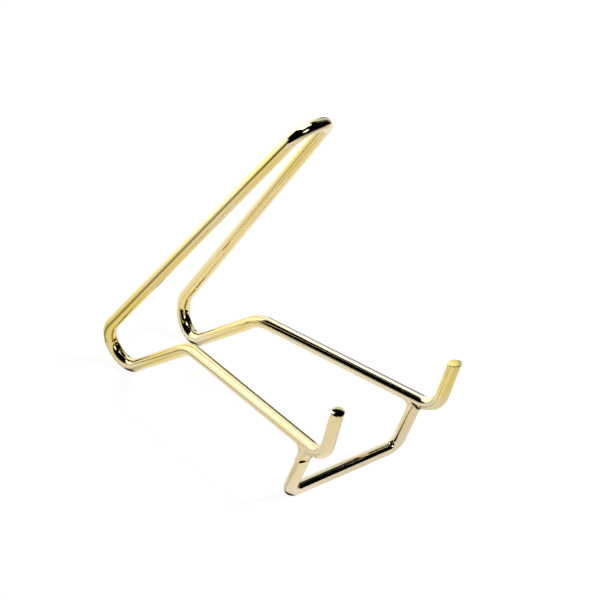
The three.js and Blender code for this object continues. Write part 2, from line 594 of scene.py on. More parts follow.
@dataclass
class LegWeld:
    """The weld that runs a leg of the front foot into its rail.

    It is a sleeve about the leg. Its lower end is a rounded lip, and its upper end spreads
    over the underside of the rail, further to the rear than to the front, and wraps it by
    "wrap" to each side. "softness" eases the change from rear to front.

    The lip lies at "length" down the leg, and lower by "lean" at the angle "lowest_angle". The
    skin thins from the lip to the waist at the power "lip_fade", and it swells and sinks by
    "wobble", in "waves_round" waves round the leg that turn by "wave_climb" on the way up. Both
    hidden ends are drawn in by the share "buried" to the middles of the wires.
    """

    side: Side
    setting_out: SettingOut
    length: float = 7.2 * MM
    lean: float = 2.9 * MM
    lowest_angle: float = math.radians(-51)
    lip_thickness: float = 0.34 * MM
    lip_round: float = 0.5 * MM
    waist_thickness: float = 0.12 * MM
    rear_spread: float = 6.5 * MM
    front_spread: float = 2.2 * MM
    wrap: float = math.radians(84)
    softness: float = 0.35
    wobble: float = 0.07 * MM
    waves_round: int = 3
    wave_climb: float = 7.0
    lip_fade: int = 5
    buried: float = 0.5
    painted_dark_spots: tuple[PaintedDarkSpot, ...] = ()
    sides: int = 96
    rows: int = 72
    lip_rows: int = 6

    @property
    def name(self) -> str:
        """The piece's name."""
        return f"{self.side.name.lower()}_leg_weld"

    def axes(self) -> tuple[Vector, Vector, Vector]:
        """Finds the joint and the ways of the wires that meet there.

        Returns:
            The joint's middle, the way along the rail to the rear and the way down the leg.
        """
        mirror = Vector((self.side.value, 1.0, 1.0))
        joint = self.setting_out.rail_point(self.setting_out.sizes.leg_depth)
        rear = self.setting_out.rail_point(self.setting_out.sizes.rail_length) - joint
        down = self.setting_out.bar_corner() - joint
        return joint * mirror, (rear * mirror).normalized(), (down * mirror).normalized()

    def lip_depth(self, angle: float) -> float:
        """How far down the leg the lip lies at an angle about the leg."""
        return self.length + self.lean * math.cos(angle - self.lowest_angle)

    def lip_point(self, angle: float, share: float) -> Vector:
        """A point of the lip's rounded end.

        Args:
            angle: Angle about the leg, 0 at the rear.
            share: 0 at the leg and 1 at the fullest place.

        Returns:
            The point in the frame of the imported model.
        """
        joint, _, down = self.axes()
        outward = self.outward(angle)
        turn = share * math.pi / 2
        fall = self.lip_depth(angle) + self.lip_round * math.cos(turn)
        radius = self.setting_out.sizes.wire_radius
        return joint + down * fall + outward * (radius + self.lip_thickness * math.sin(turn))

    def outward(self, angle: float) -> Vector:
        """Finds the way straight out of the leg.

        Args:
            angle: Angle about the leg, 0 at the rear.

        Returns:
            A unit direction.
        """
        _, rear, down = self.axes()
        behind = (rear - down * rear.dot(down)).normalized()
        across = down.cross(rear).normalized()
        return behind * math.cos(angle) + across * math.sin(angle)

    def surface_point(self, angle: float, share: float) -> Vector:
        """A point of the weld's visible skin above its lip.

        Args:
            angle: Angle about the leg, 0 at the rear.
            share: 0 at the lip on the leg and 1 at the edge on the rail.

        Returns:
            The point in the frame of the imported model.
        """
        radius = self.setting_out.sizes.wire_radius
        joint, rear, down = self.axes()
        across = down.cross(rear).normalized()
        under = rear.cross(across).normalized()
        if under.z > 0.0:
            under = -under
        outward = self.outward(angle)
        tilt = rear.angle(down)
        cosine = math.cos(angle)
        sway = math.sqrt(cosine * cosine + self.softness * self.softness)
        rearward = (sway + cosine) / 2
        forward = (sway - cosine) / 2

        low = joint + down * self.lip_depth(angle) + outward * radius
        meet = radius * (rearward / math.tan(tilt / 2) + forward * math.tan(tilt / 2))
        corner = joint + down * meet + outward * radius
        reach = radius / math.sin(tilt)
        along = (reach + self.rear_spread) * rearward - (reach + self.front_spread) * forward
        turn = self.wrap * math.sin(angle)
        high = joint + rear * along + (under * math.cos(turn) + across * math.sin(turn)) * radius

        point = low * (1 - share) ** 2 + corner * 2 * share * (1 - share) + high * share ** 2
        lip = (self.lip_thickness - self.waist_thickness) * (1 - share) ** self.lip_fade
        thickness = self.waist_thickness + lip
        phase = self.waves_round * angle + self.wave_climb * share
        wave = math.sin(phase) * math.sin(math.pi * share)
        return point + outward * (thickness * (1 - share) + self.wobble * wave)

    def build(self, material: bpy.types.Material) -> bpy.types.Object:
        """Lofts the sleeve from a ring inside the leg to a ring inside the rail.

        Args:
            material: The weld's plating.

        Returns:
            The finished piece.
        """
        mesh = bmesh.new()
        unbent = mesh.verts.layers.float_vector.new("unbent")
        # The "scale" layer holds the painted dark spots: painted shadow and painted dark reflection.
        scale = mesh.verts.layers.float.new("scale")
        joint, rear, down = self.axes()
        radius = self.setting_out.sizes.wire_radius
        angles = [2 * math.pi * k / self.sides for k in range(self.sides)]
        lip = [[self.lip_point(a, k / self.lip_rows) for a in angles] for k in range(self.lip_rows)]
        skin = [[self.surface_point(a, k / self.rows) for a in angles] for k in range(self.rows + 1)]
        rows = lip + skin
        shares = [0.0] * self.lip_rows + [k / self.rows for k in range(self.rows + 1)] + [1.0]
        inner_low = [p.lerp(joint + down * (p - joint).dot(down), self.buried) for p in rows[0]]
        inner_high = [p.lerp(joint + rear * (p - joint).dot(rear), self.buried) for p in rows[-1]]
        loop = bmesh.ops.create_circle(mesh, segments=self.sides, radius=radius)["verts"]
        loop = sorted(loop, key=lambda v: math.atan2(v.co.y, v.co.x) % (2 * math.pi))
        for vert, place in zip(loop, inner_low):
            vert.co = place
        first = list(mesh.edges)
        last = list(mesh.edges)
        for share, row in zip(shares, (*rows, inner_high)):
            grown, last = extrude_ring(mesh, last)
            members = set(grown)
            loop = [grown_from(vert, members) for vert in loop]
            for vert, place, angle in zip(loop, row, angles):
                vert.co = place
                vert[scale] = max((painted_dark_spot.cover(angle, share) for painted_dark_spot in self.painted_dark_spots), default=0.0)
        for rim in (first, last):
            bmesh.ops.contextual_create(mesh, geom=rim)
        for vert in mesh.verts:
            vert[unbent] = vert.co
        bmesh.ops.recalc_face_normals(mesh, faces=mesh.faces)
        piece = make_piece(self.name, mesh, material)
        fit_piece(piece, f"{self.side.name.lower()}_weld")
        return piece


# Painted dark spots on the welds: painted shadow and painted dark reflection.
LEFT_PAINTED_DARK_SPOTS = (
    PaintedDarkSpot(angle=math.radians(-134), share=0.04, half_angle=math.radians(27), half_share=0.11),
    PaintedDarkSpot(angle=math.radians(-175), share=0.0, half_angle=math.radians(50), half_share=0.04),
    PaintedDarkSpot(angle=math.radians(165), share=0.5, half_angle=math.radians(14), half_share=0.5),
)
RIGHT_PAINTED_DARK_SPOTS = (
    PaintedDarkSpot(angle=math.radians(-144), share=0.74, half_angle=math.radians(44), half_share=0.30),
    PaintedDarkSpot(angle=math.radians(-104), share=0.92, half_angle=math.radians(20), half_share=0.30),
)


# ---- Finishes ----


@dataclass(frozen=True)
class Grain:
    """How many finer layers a noise has, and how strong they are."""

    layers: float
    strength: float


class Nodes:
    """Adds nodes to a tree and links them, row by row.

    The pairs are the input sockets of a Mix node that take its numbers and its colours.
    """

    NUMBER_PAIR = (2, 3)
    COLOUR_PAIR = (6, 7)

    def __init__(self, tree: bpy.types.NodeTree) -> None:
        """Takes over a node tree and empties it."""
        self.tree = tree
        self.tree.nodes.clear()

    def add(
        self, kind: str, inputs: dict[str | int, SocketInput] | None = None, **settings: object
    ) -> bpy.types.Node:
        """Adds one node.

        Args:
            kind: The node's type.
            inputs: Socket values or links, by socket name or index.
            settings: The node's own properties.

        Returns:
            The new node.
        """
        node = self.tree.nodes.new(kind)
        for key, value in settings.items():
            setattr(node, key, value)
        for key, value in (inputs or {}).items():
            if isinstance(value, bpy.types.NodeSocket):
                self.tree.links.new(value, node.inputs[key])
            else:
                node.inputs[key].default_value = value
        return node

    def math(
        self,
        operation: str,
        first: SocketInput,
        second: SocketInput = 0.0,
        third: SocketInput = 0.0,
    ) -> bpy.types.NodeSocket:
        """Adds a Math node and gives its result."""
        inputs = {0: first, 1: second, 2: third}
        return self.add("ShaderNodeMath", inputs, operation=operation).outputs[0]

    def product(self, first: SocketInput, *others: SocketInput) -> bpy.types.NodeSocket:
        """Multiplies values, one after another.

        Args:
            first: The first factor.
            others: The other factors.

        Returns:
            The product.
        """
        for other in others:
            first = self.math("MULTIPLY", first, other)
        return first

    def total(self, first: SocketInput, *others: SocketInput) -> bpy.types.NodeSocket:
        """Adds up values, one after another.

        Args:
            first: The first value.
            others: The other values.

        Returns:
            The sum.
        """
        for other in others:
            first = self.math("ADD", first, other)
        return first

    def mix(self, factor: SocketInput, low: SocketInput, high: SocketInput) -> bpy.types.NodeSocket:
        """Adds a mix of two numbers and gives its result."""
        inputs = {"Factor": factor, **dict(zip(self.NUMBER_PAIR, (low, high)))}
        return self.add("ShaderNodeMix", inputs, data_type="FLOAT").outputs[0]

    def blend(self, factor: SocketInput, low: SocketInput, high: SocketInput) -> bpy.types.NodeSocket:
        """Adds a mix of two colours and gives its result."""
        inputs = {"Factor": factor, **dict(zip(self.COLOUR_PAIR, (low, high)))}
        return self.add("ShaderNodeMix", inputs, data_type="RGBA", blend_type="MIX").outputs[2]

    def remap(self, value: SocketInput, span: Span, to: Span) -> bpy.types.NodeSocket:
        """Adds a clamped, smooth Map Range node.

        Args:
            value: The value to remap.
            span: The values between which the result changes.
            to: The results at those two values.

        Returns:
            The result.
        """
        inputs = {
            "Value": value,
            "From Min": span[0],
            "From Max": span[1],
            "To Min": to[0],
            "To Max": to[1],
        }
        return self.add("ShaderNodeMapRange", inputs, interpolation_type="SMOOTHSTEP").outputs[0]

    def noise(self, vector: SocketInput, scale: SocketInput, grain: Grain) -> bpy.types.NodeSocket:
        """Adds a noise texture.

        Args:
            vector: The place that the noise is read at.
            scale: How fine the noise is.
            grain: The noise's finer layers.

        Returns:
            The noise, mostly between 0.3 and 0.7.
        """
        inputs = {
            "Vector": vector,
            "Scale": scale,
            "Detail": grain.layers,
            "Roughness": grain.strength,
        }
        return self.add("ShaderNodeTexNoise", inputs).outputs["Fac"]


class Axis(Enum):
    """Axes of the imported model, as a Separate XYZ node names them."""

    RIGHT = "X"
    REAR = "Y"
    UP = "Z"


@dataclass(frozen=True)
class Fade:
    """A smooth change of a value along one axis.

    The value changes between the places "span", from the first number of "to" to the second.
    """

    axis: Axis
    span: Span
    to: Span

    def build(self, nodes: Nodes, place: bpy.types.Node) -> bpy.types.NodeSocket:
        """Adds the fade to a tree, given the node that splits up the place."""
        return nodes.remap(place.outputs[self.axis.value], self.span, self.to)


FLOAT_SOCKET = "NodeSocketFloat"
VECTOR_SOCKET = "NodeSocketVector"


def new_group(
    name: str, inputs: dict[str, str], outputs: dict[str, str]
) -> tuple[Nodes, bpy.types.Node, bpy.types.Node]:
    """Starts a shader node group.

    Args:
        name: The group's name.
        inputs: Socket type of each input, by name.
        outputs: Socket type of each output, by name.

    Returns:
        The group's node helper, its input node and its output node.
    """
    tree = bpy.data.node_groups.new(name, "ShaderNodeTree")
    for socket, kind in inputs.items():
        tree.interface.new_socket(socket, in_out="INPUT", socket_type=kind)
    for socket, kind in outputs.items():
        tree.interface.new_socket(socket, in_out="OUTPUT", socket_type=kind)
    nodes = Nodes(tree)
    return nodes, nodes.add("NodeGroupInput"), nodes.add("NodeGroupOutput")


@dataclass(frozen=True)
class PlatingToneAndPaintedLight:
    """How the plating's tint and gloss drift over the stand.

    The rear and the upper parts are tinted more deeply. The top loop and the crossbar are paler.
    On the right half the tint of the rear, of the hook and of the rail differs a little again.
    These tints by place are a painted reflection tint: deeper gold where the mirrored light
    looks darker, paler where it looks brighter. Only the cloudy tint is random tone. The crown
    of the right rail is painted whiter, a painted highlight.
    """

    # Tints by place: a painted reflection tint, deeper where the mirrored light looks darker.
    behind: Fade = Fade(Axis.REAR, (5 * MM, 35 * MM), (0.0, 1.0))
    aloft: Fade = Fade(Axis.UP, (55 * MM, 75 * MM), (0.0, 1.0))
    rear_tint: float = 0.42
    top_loop: Fade = Fade(Axis.UP, (128 * MM, 144 * MM), (0.0, -0.6))
    crossbar: Fade = Fade(Axis.UP, (4 * MM, 14 * MM), (-0.35, 0.0))
    right_half: Fade = Fade(Axis.RIGHT, (-4 * MM, 6 * MM), (0.0, 1.0))
    right_rise: Fade = Fade(Axis.UP, (50 * MM, 95 * MM), (-0.33, 0.16))
    hook_end: Fade = Fade(Axis.REAR, (-68 * MM, -60 * MM), (1.0, 0.0))
    hook_rise: Fade = Fade(Axis.UP, (34 * MM, 42 * MM), (0.0, 0.22))
    rail_run: Fade = Fade(Axis.REAR, (10 * MM, 30 * MM), (-0.3, 0.0))
    rail_level: Fade = Fade(Axis.UP, (34 * MM, 40 * MM), (1.0, 0.0))
    cloud_grain: Grain = Grain(layers=1.0, strength=0.5)
    cloud_span: Span = (0.3, 0.7)
    cloud_tint: Span = (0.1, 0.6)
    haze_grain: Grain = Grain(layers=4.0, strength=0.6)
    haze_span: Span = (0.4, 0.75)
    # The painted highlight: the crown of the right rail's front part is painted whiter.
    highlight_from: Fade = Fade(Axis.UP, (29.8 * MM, 30.8 * MM), (0.0, 0.8))
    highlight_below: Fade = Fade(Axis.UP, (33 * MM, 38 * MM), (1.0, 0.0))
    highlight_run: Fade = Fade(Axis.REAR, (0.0, 30 * MM), (1.0, 0.0))
    highlight_front: Fade = Fade(Axis.REAR, (-72 * MM, -64 * MM), (0.0, 1.0))

    def build(self) -> bpy.types.NodeTree:
        """Builds the group.

        Returns:
            A group with the masks "Tint", how deep the gold is, partly a painted reflection tint,
            "Haze", in small patches, and "Painted Highlight", the whiter crown of the right rail.
        """
        nodes, given, result = new_group(
            "plating_tone_and_painted_light",
            {"Place": VECTOR_SOCKET, "Cloud Scale": FLOAT_SOCKET, "Haze Scale": FLOAT_SOCKET},
            {"Tint": FLOAT_SOCKET, "Haze": FLOAT_SOCKET, "Thin": FLOAT_SOCKET},
        )
        place = given.outputs["Place"]
        apart = nodes.add("ShaderNodeSeparateXYZ", {0: place})
        behind = self.behind.build(nodes, apart)
        aloft = self.aloft.build(nodes, apart)
        back = nodes.product(nodes.math("MAXIMUM", behind, aloft), self.rear_tint)
        ends = nodes.total(self.top_loop.build(nodes, apart), self.crossbar.build(nodes, apart))
        right_half = self.right_half.build(nodes, apart)
        right_rear = nodes.product(behind, self.right_rise.build(nodes, apart))
        hook = nodes.product(self.hook_end.build(nodes, apart), self.hook_rise.build(nodes, apart))
        rail = nodes.product(self.rail_run.build(nodes, apart), self.rail_level.build(nodes, apart))
        sided = nodes.product(nodes.total(right_rear, hook, rail), right_half)
        clouds = nodes.noise(place, given.outputs["Cloud Scale"], self.cloud_grain)
        cloud = nodes.remap(clouds, self.cloud_span, self.cloud_tint)
        tint = nodes.add("ShaderNodeClamp", {0: nodes.total(back, ends, sided, cloud)})
        patches = nodes.noise(place, given.outputs["Haze Scale"], self.haze_grain)
        haze = nodes.remap(patches, self.haze_span, (0.0, 1.0))
        # Mask of the painted highlight along the right rail's crown.
        crown = nodes.product(self.highlight_from.build(nodes, apart), self.highlight_below.build(nodes, apart))
        run = nodes.product(
            self.highlight_run.build(nodes, apart), right_half, self.highlight_front.build(nodes, apart)
        )
        nodes.tree.links.new(tint.outputs[0], result.inputs["Tint"])
        nodes.tree.links.new(haze, result.inputs["Haze"])
        nodes.tree.links.new(nodes.product(crown, run), result.inputs["Thin"])
        return nodes.tree


@dataclass(frozen=True)
class DrawingMarks:
    """Fine marks that drawing and bending leave in a wire.

    Ripples are long and low, lines run along the wire, and creases lie where it is squeezed.
    """

    ripple_scale: float = 170.0
    ripple_grain: Grain = Grain(layers=0.0, strength=0.4)
    line_scale: float = 1000.0
    line_grain: Grain = Grain(layers=1.5, strength=0.5)
    line_stretch: float = 0.012
    line_span: Span = (0.45, 0.75)
    crease_scale: float = 420.0
    crease_grain: Grain = Grain(layers=1.0, strength=0.5)
    crease_height: float = 0.004 * MM

    def build(self) -> bpy.types.NodeTree:
        """Builds the group.

        Returns:
            A group with "Height", the relief in metres, and "Lines", the mask of the lines.
        """
        nodes, given, result = new_group(
            "drawing_marks",
            {
                "Unbent": VECTOR_SOCKET,
                "Squeeze": FLOAT_SOCKET,
                "Ripple": FLOAT_SOCKET,
                "Line": FLOAT_SOCKET,
            },
            {"Height": FLOAT_SOCKET, "Lines": FLOAT_SOCKET},
        )
        unbent = given.outputs["Unbent"]
        stretch = (1.0, 1.0, self.line_stretch)
        stretched = nodes.add("ShaderNodeMapping", {"Vector": unbent, "Scale": stretch}).outputs[0]
        ripples = nodes.noise(unbent, self.ripple_scale, self.ripple_grain)
        lines = nodes.noise(stretched, self.line_scale, self.line_grain)
        creases = nodes.noise(unbent, self.crease_scale, self.crease_grain)
        relief = nodes.total(
            nodes.product(ripples, given.outputs["Ripple"]),
            nodes.product(lines, given.outputs["Line"]),
            nodes.product(creases, given.outputs["Squeeze"], self.crease_height),
        )
        nodes.tree.links.new(relief, result.inputs["Height"])
        nodes.tree.links.new(nodes.remap(lines, self.line_span, (0.0, 1.0)), result.inputs["Lines"])
        return nodes.tree


@dataclass(frozen=True)
class PlatingFinish:
    """A gold-plated, polished surface.

    "gloss" is the roughness of its clean parts and "haze" is what the haze adds to it. "ripple"
    and "line" are the heights of the drawing marks.
    """

    name: str
    pale: Colour
    deep: Colour
    # Colour of the painted highlight on the right rail's crown.
    thin: Colour
    # Colour of the painted dark spots on the welds.
    painted_dark_spot: Colour
    gloss: float
    haze: float
    ripple: float
    line: float
    line_haze: float = 0.35
    cloud_scale: float = 16.0
    haze_scale: float = 210.0
    dark_spot_span: Span = (0.25, 0.5)

    def build(self, drift: bpy.types.NodeTree, marks: bpy.types.NodeTree) -> bpy.types.Material:
        """Makes the material.

        Args:
            drift: The group that lets tint and gloss drift.
            marks: The group of drawing marks.

        Returns:
            The new material.
        """
        material = bpy.data.materials.new(self.name)
        material.use_nodes = True
        nodes = Nodes(material.node_tree)
        place = nodes.add("ShaderNodeTexCoord").outputs["Object"]
        unbent = nodes.add("ShaderNodeAttribute", attribute_name="unbent").outputs["Vector"]
        squeeze = nodes.add("ShaderNodeAttribute", attribute_name="squeeze").outputs["Fac"]
        # The "scale" attribute holds the painted dark spots of the welds.
        scale = nodes.add("ShaderNodeAttribute", attribute_name="scale").outputs["Fac"]
        drifting = nodes.add(
            "ShaderNodeGroup",
            {"Place": place, "Cloud Scale": self.cloud_scale, "Haze Scale": self.haze_scale},
            node_tree=drift,
        ).outputs
        marked = nodes.add(
            "ShaderNodeGroup",
            {"Unbent": unbent, "Squeeze": squeeze, "Ripple": self.ripple, "Line": self.line},
            node_tree=marks,
        ).outputs
        # Pale and deep gold mixed by the tint, partly a painted reflection tint.
        golden = nodes.blend(drifting["Tint"], (*self.pale, 1.0), (*self.deep, 1.0))
        # Painted highlight: the right rail's crown turns whiter.
        plated = nodes.blend(drifting["Thin"], golden, (*self.thin, 1.0))
        # The painted dark spots turn the colour black.
        darkened = nodes.remap(scale, self.dark_spot_span, (0.0, 1.0))
        tint = nodes.blend(darkened, plated, (*self.painted_dark_spot, 1.0))
        dulled = nodes.total(nodes.product(drifting["Haze"], self.haze), self.gloss)
        lined = nodes.product(marked["Lines"], self.line_haze, self.haze)
        bump = nodes.add(
            "ShaderNodeBump", {"Height": marked["Height"], "Strength": 1.0, "Distance": 1.0}
        )
        shader = nodes.add(
            "ShaderNodeBsdfPrincipled",
            {
                "Base Color": tint,
                "Roughness": nodes.total(dulled, lined),
                "Normal": bump.outputs[0],
                "Metallic": 1.0,
            },
        )
        nodes.add("ShaderNodeOutputMaterial", {"Surface": shader.outputs[0]})
        return material


WIRE_PLATING = PlatingFinish(
    name="gold_plated_wire",
    pale=(0.86, 0.745, 0.53),
    deep=(0.86, 0.675, 0.19),
    thin=(0.86, 0.82, 0.73),
    painted_dark_spot=(0.006, 0.004, 0.002),
    gloss=0.045,
    haze=0.05,
    ripple=0.02 * MM,
    line=0.002 * MM,
)
WELD_PLATING = PlatingFinish(
    name="gold_plated_weld",
    pale=(0.86, 0.73, 0.52),
    deep=(0.85, 0.66, 0.20),
    thin=(0.86, 0.82, 0.73),
    painted_dark_spot=(0.006, 0.004, 0.002),
    gloss=0.07,
    haze=0.08,
    ripple=0.05 * MM,
    line=0.0,
)


# ---- Studio ----


@dataclass(frozen=True)
class WallStop:
    """What the polished wire sees of the studio's walls in one compass direction.

    "turn" is the direction in degrees, from the rear towards the right. "low" and "high" are
    the wall's brightness at its foot and further up. "top" is the height of its upper edge in
    degrees above the horizon.
    """

    turn: float
    low: float
    high: float
    top: float


WALLS = (
    WallStop(turn=-43, low=0.0, high=0.0, top=22),
    WallStop(turn=-39, low=1.0, high=1.0, top=28),
    WallStop(turn=-34, low=1.15, high=1.4, top=33),
    WallStop(turn=-30, low=1.25, high=1.6, top=37),
    WallStop(turn=-25, low=1.35, high=1.8, top=42),
    WallStop(turn=-20, low=1.3, high=1.6, top=46),
    WallStop(turn=-10, low=1.3, high=1.4, top=53),
    WallStop(turn=0, low=1.25, high=1.35, top=57),
    WallStop(turn=18, low=1.15, high=1.35, top=57),
    WallStop(turn=30, low=1.05, high=1.25, top=58),
    WallStop(turn=37, low=0.95, high=1.1, top=59),
    WallStop(turn=42, low=0.75, high=0.95, top=59),
    WallStop(turn=44.5, low=0.5, high=0.8, top=58),
    WallStop(turn=46, low=0.0, high=0.75, top=58),
    WallStop(turn=51, low=0.0, high=0.75, top=57),
    WallStop(turn=54, low=0.65, high=0.75, top=57),
    WallStop(turn=61, low=0.75, high=0.75, top=56),
    WallStop(turn=72, low=0.7, high=0.7, top=55),
    WallStop(turn=80, low=0.35, high=0.5, top=55),
    WallStop(turn=90, low=0.03, high=0.35, top=55),
    WallStop(turn=105, low=0.0, high=0.12, top=56),
    WallStop(turn=120, low=0.0, high=0.0, top=57),
)


@dataclass(frozen=True)
class PaintedContactShadow:
    """A painted contact shadow that the polished wire sees on the sheet, close to the stand."""

    middle: tuple[float, float]
    half_width: float
    half_depth: float
    darkness: float
    edge: Span = (0.4, 1.6)

    def build(self, nodes: Nodes, place: bpy.types.Node) -> bpy.types.NodeSocket:
        """Adds the patch to the sheet's nodes.

        Args:
            nodes: The sheet's nodes.
            place: Node that splits up the place on the sheet.

        Returns:
            A factor for the sheet's brightness.
        """
        squares = []
        for axis, middle, half in zip("XY", self.middle, (self.half_width, self.half_depth)):
            offset = nodes.math("MULTIPLY_ADD", place.outputs[axis], 1 / half, -middle / half)
            squares.append(nodes.product(offset, offset))
        return nodes.remap(nodes.total(*squares), self.edge, (1.0 - self.darkness, 1.0))


# Painted contact shadows by the left heel, the right heel and the foot's left corner.
PAINTED_CONTACT_SHADOWS = (
    PaintedContactShadow(middle=(-18.5 * MM, 67.5 * MM), half_width=3 * MM, half_depth=3 * MM, darkness=0.85),
    PaintedContactShadow(middle=(15.5 * MM, 69 * MM), half_width=4 * MM, half_depth=4 * MM, darkness=0.97),
    PaintedContactShadow(middle=(-27 * MM, -46.5 * MM), half_width=3.6 * MM, half_depth=3.6 * MM, darkness=0.98),
)
FULL_TURN = 360
QUARTER_TURN = 90
RAMP_MIDDLE = 0.5


def grey(level: float) -> tuple[float, float, float, float]:
    """An opaque grey, from black at 0 to white at 1."""
    return level, level, level, 1.0


def direction(azimuth: float, elevation: float) -> Vector:
    """Finds a direction seen from the stand.

    Args:
        azimuth: Angle from the front towards the left.
        elevation: Angle above the horizon.

    Returns:
        A unit direction.
    """
    level = math.cos(elevation)
    return Vector((-math.sin(azimuth) * level, -math.cos(azimuth) * level, math.sin(elevation)))


def face_from(thing: bpy.types.Object, back: Vector) -> None:
    """Turns a lamp or the camera to look at the stand from a direction.

    Args:
        thing: The lamp or the camera.
        back: Unit direction from the stand to it.
    """
    thing.rotation_mode = "QUATERNION"
    thing.rotation_quaternion = (-back).to_track_quat("-Z", "Y")


@dataclass(frozen=True)
class PaleSheet:
    """The pale sheet under the stand.

    The camera sees it evenly pale. What the polished wire mirrors of it is a painted glow with
    painted light and shade: a painted shadow of the stand in a wedge to the left of the left heel,
    painted contact shadows where the stand stands, painted shade in front of the crossbar, darker
    towards the front and beyond the left edge of the light, brighter towards the rear and the
    right, and a painted golden bounce where it is shaded.
    """

    left: float = -0.9
    right: float = 0.45
    front: float = -0.279
    rear: float = 1.6
    # Painted shadow of the stand: a dark wedge to the left of the left heel.
    stand_shadow_corner: tuple[float, float] = (-20.8 * MM, 92.5 * MM)
    stand_shadow_depth: float = 0.6
    stand_shadow_opening: Span = (math.radians(-38), math.radians(-8))
    stand_shadow_closing: Span = (math.radians(25), math.radians(28))
    front_fall: Fade = Fade(Axis.REAR, (-240 * MM, -70 * MM), (0.45, 1.0))
    # Painted shade on the sheet in front of the crossbar's right half.
    under_bar: Fade = Fade(Axis.RIGHT, (-20 * MM, -2 * MM), (0.0, 1.0))
    under_bar_shade: Fade = Fade(Axis.REAR, (-48 * MM, -36 * MM), (-0.16, 0.0))
    light_edge: Fade = Fade(Axis.RIGHT, (-172 * MM, -160 * MM), (-1.0, 0.0))
    light_edge_swing: Span = (0.0, math.radians(12))
    far_left: Fade = Fade(Axis.RIGHT, (-400 * MM, -250 * MM), (-1.0, 0.0))
    far_left_run: Fade = Fade(Axis.REAR, (250 * MM, 350 * MM), (1.0, 0.0))
    # What the polished wire mirrors of the sheet is a glow: painted light, brighter to the rear and
    # right.
    mirrored_glow: float = 0.35
    rear_lift: Fade = Fade(Axis.REAR, (100 * MM, 500 * MM), (0.0, 0.55))
    right_lift: Fade = Fade(Axis.RIGHT, (-60 * MM, 0.0), (0.0, 0.1))
    seen_glow: float = 0.93
    seen_paper: float = 0.1
    lit_paper: float = 0.45
    # A painted golden bounce: the shaded parts of the mirrored glow turn warm.
    shaded_hue: Colour = (1.0, 0.88, 0.5)

    def shade(self, nodes: Nodes, place: bpy.types.Node) -> bpy.types.NodeSocket:
        """Adds the painted shade of the sheet's mirror image.

        Args:
            nodes: The sheet's nodes.
            place: Node that splits up the place on the sheet.

        Returns:
            A factor for the sheet's brightness, 0 to 1.
        """
        # Painted shadow of the stand, in a wedge to the left of the left heel.
        left = nodes.math("SUBTRACT", self.stand_shadow_corner[0], place.outputs["X"])
        behind = nodes.math("SUBTRACT", place.outputs["Y"], self.stand_shadow_corner[1])
        swing = nodes.math("ARCTAN2", behind, left)
        opening = nodes.remap(swing, self.stand_shadow_opening, (0.0, 1.0))
        closing = nodes.remap(swing, self.stand_shadow_closing, (1.0, 0.0))
        stand_shadow = nodes.product(opening, closing, -self.stand_shadow_depth)
        # Painted shade in front of the crossbar's right half.
        under_bar = self.under_bar.build(nodes, place)
        bar = nodes.math("MULTIPLY_ADD", under_bar, self.under_bar_shade.build(nodes, place), 1.0)
        swung = nodes.remap(swing, self.light_edge_swing, (1.0, 0.0))
        edge = nodes.math("MULTIPLY_ADD", self.light_edge.build(nodes, place), swung, 1.0)
        far_left = self.far_left.build(nodes, place)
        far = nodes.math("MULTIPLY_ADD", far_left, self.far_left_run.build(nodes, place), 1.0)
        front = self.front_fall.build(nodes, place)
        near = nodes.product(nodes.product(bar, edge), nodes.product(front, far))
        # Painted contact shadows where the stand meets the sheet.
        near = nodes.product(near, *(contact_shadow.build(nodes, place) for contact_shadow in PAINTED_CONTACT_SHADOWS))
        return nodes.product(nodes.total(stand_shadow, 1.0), near)

    def dress(self) -> bpy.types.Material:
        """Makes the sheet's material.

        Returns:
            The new material.
        """
        material = bpy.data.materials.new("pale_sheet")
        material.use_nodes = True
        nodes = Nodes(material.node_tree)
        seen = nodes.add("ShaderNodeLightPath").outputs["Is Camera Ray"]
        whole = nodes.add("ShaderNodeTexCoord").outputs["Object"]
        place = nodes.add("ShaderNodeSeparateXYZ", {0: whole})
        shade = self.shade(nodes, place)
        rear = self.rear_lift.build(nodes, place)
        # Painted light: the mirrored glow rises towards the rear and the right.
        lift = nodes.total(rear, self.right_lift.build(nodes, place), self.mirrored_glow)
        strength = nodes.mix(seen, nodes.product(lift, shade), self.seen_glow)
        # The painted shade also darkens the paper's colour, except for the camera.
        lit = nodes.blend(shade, grey(0.0), grey(self.lit_paper))
        paper = nodes.blend(seen, lit, grey(self.seen_paper))
        # Painted golden bounce in the painted shade of the mirrored sheet.
        hue = nodes.blend(seen, nodes.blend(shade, (*self.shaded_hue, 1.0), grey(1.0)), grey(1.0))
        diffuse = nodes.add("ShaderNodeBsdfDiffuse", {"Color": paper})
        glow = nodes.add("ShaderNodeEmission", {"Color": hue, "Strength": strength})
        both = nodes.add("ShaderNodeAddShader", {0: diffuse.outputs[0], 1: glow.outputs[0]})
        nodes.add("ShaderNodeOutputMaterial", {"Surface": both.outputs[0]})
        return material

    def build(self, height: float) -> None:
        """Lays the sheet.

        Args:
            height: Height of the stand's lowest point.
        """
        mesh = bmesh.new()
        bmesh.ops.create_grid(mesh, x_segments=1, y_segments=1, size=1.0)
        size = Vector(((self.right - self.left) / 2, (self.rear - self.front) / 2, 1.0))
        middle = Vector(((self.right + self.left) / 2, (self.rear + self.front) / 2, height))
        bmesh.ops.scale(mesh, vec=size, verts=mesh.verts)
        bmesh.ops.translate(mesh, vec=middle, verts=mesh.verts)
        sheet = make_piece("pale_sheet", mesh, self.dress())
        sheet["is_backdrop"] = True


@dataclass(frozen=True)
class Room:
    """The room round the stand: white to the camera, and bright walls in the polished wire."""

